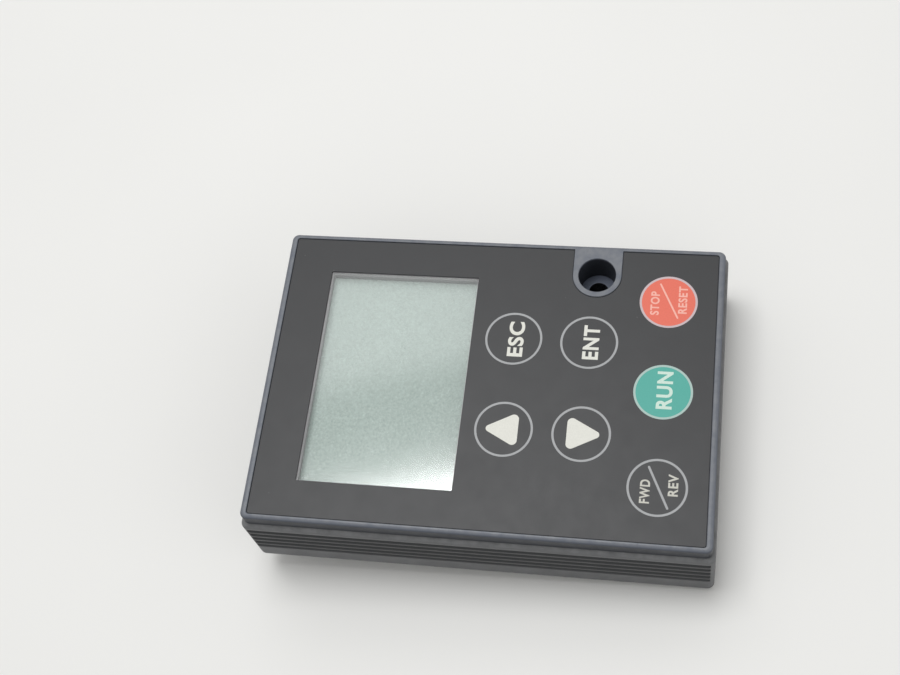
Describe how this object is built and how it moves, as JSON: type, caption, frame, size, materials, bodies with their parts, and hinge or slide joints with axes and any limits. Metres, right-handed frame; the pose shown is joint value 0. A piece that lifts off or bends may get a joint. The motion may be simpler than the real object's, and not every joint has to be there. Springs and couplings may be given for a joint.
{
  "type": "operator keypad of a variable frequency drive",
  "caption": "Detachable operator keypad with a display window, round membrane keys, a ribbed two-part housing, a fixing screw recess and a rear plug connector.",
  "frame": {"origin": "middle of the housing's outline, at the mating end of the rear connector", "axes": "+Z out of the face, +Y towards the display end, +X to the right when the legends are read upright"},
  "size_m": [0.0564, 0.0798, 0.0225],
  "materials": {
    "bezel_plastic": "fine spark texture, blue-grey",
    "housing_plastic": "fine spark texture, neutral grey",
    "film": "printed polyester face film, matte",
    "film_red": "printed polyester face film, matte",
    "film_green": "printed polyester face film, matte",
    "clear_window": "clear, glossy",
    "display": "grey-green reflective display",
    "light_guide": "satin",
    "contact_rubber": "matt",
    "board": "solder mask",
    "black_plastic": "satin",
    "plunger_plastic": "satin",
    "steel": "plated",
    "gold": "gold plated",
    "label": "satin"
  },
  "bodies": {
    "case": {"front_bezel": "bezel_plastic", "rear_housing": "housing_plastic", "face_film": "film", "display_window": "clear_window", "display_frame": "steel", "display_glass": "display", "display_backlight": "light_guide", "contact_strip_upper": "contact_rubber", "contact_strip_lower": "contact_rubber", "circuit_board": "board", "microcontroller": "black_plastic", "crystal": "steel", "capacitor": "black_plastic", "voltage_regulator": "black_plastic", "escape_switch_body": "black_plastic", "up_switch_body": "black_plastic", "enter_switch_body": "black_plastic", "down_switch_body": "black_plastic", "stop_switch_body": "black_plastic", "run_switch_body": "black_plastic", "direction_switch_body": "black_plastic", "connector_shell": "steel", "connector_insulator": "black_plastic", "connector_pin_1": "gold", "connector_pin_2": "gold", "connector_pin_3": "gold", "connector_pin_4": "gold", "connector_pin_5": "gold", "connector_pin_6": "gold", "connector_pin_7": "gold", "connector_pin_8": "gold", "connector_pin_9": "gold", "jack_nut_left": "steel", "jack_nut_right": "steel", "rear_label": "label", "case_screw_top_left": "steel", "case_screw_top_right": "steel", "case_screw_bottom_left": "steel", "case_screw_bottom_right": "steel"},
    "escape_key": {"escape_key_face": "film", "escape_key_plunger": "plunger_plastic", "escape_switch_button": "black_plastic"},
    "up_key": {"up_key_face": "film", "up_key_plunger": "plunger_plastic", "up_switch_button": "black_plastic"},
    "enter_key": {"enter_key_face": "film", "enter_key_plunger": "plunger_plastic", "enter_switch_button": "black_plastic"},
    "down_key": {"down_key_face": "film", "down_key_plunger": "plunger_plastic", "down_switch_button": "black_plastic"},
    "stop_key": {"stop_key_face": "film_red", "stop_key_plunger": "plunger_plastic", "stop_switch_button": "black_plastic"},
    "run_key": {"run_key_face": "film_green", "run_key_plunger": "plunger_plastic", "run_switch_button": "black_plastic"},
    "direction_key": {"direction_key_face": "film", "direction_key_plunger": "plunger_plastic", "direction_switch_button": "black_plastic"}
  },
  "joints": [
    {"name": "escape_key_press", "type": "slide", "parent": "case", "child": "escape_key", "axis": [0, 0, -1], "range_m": [0, 0.0004], "stiffness_N_per_m": 4500},
    {"name": "up_key_press", "type": "slide", "parent": "case", "child": "up_key", "axis": [0, 0, -1], "range_m": [0, 0.0004], "stiffness_N_per_m": 4500},
    {"name": "enter_key_press", "type": "slide", "parent": "case", "child": "enter_key", "axis": [0, 0, -1], "range_m": [0, 0.0004], "stiffness_N_per_m": 4500},
    {"name": "down_key_press", "type": "slide", "parent": "case", "child": "down_key", "axis": [0, 0, -1], "range_m": [0, 0.0004], "stiffness_N_per_m": 4500},
    {"name": "stop_key_press", "type": "slide", "parent": "case", "child": "stop_key", "axis": [0, 0, -1], "range_m": [0, 0.0004], "stiffness_N_per_m": 4500},
    {"name": "run_key_press", "type": "slide", "parent": "case", "child": "run_key", "axis": [0, 0, -1], "range_m": [0, 0.0004], "stiffness_N_per_m": 4500},
    {"name": "direction_key_press", "type": "slide", "parent": "case", "child": "direction_key", "axis": [0, 0, -1], "range_m": [0, 0.0004], "stiffness_N_per_m": 4500}
  ]
}
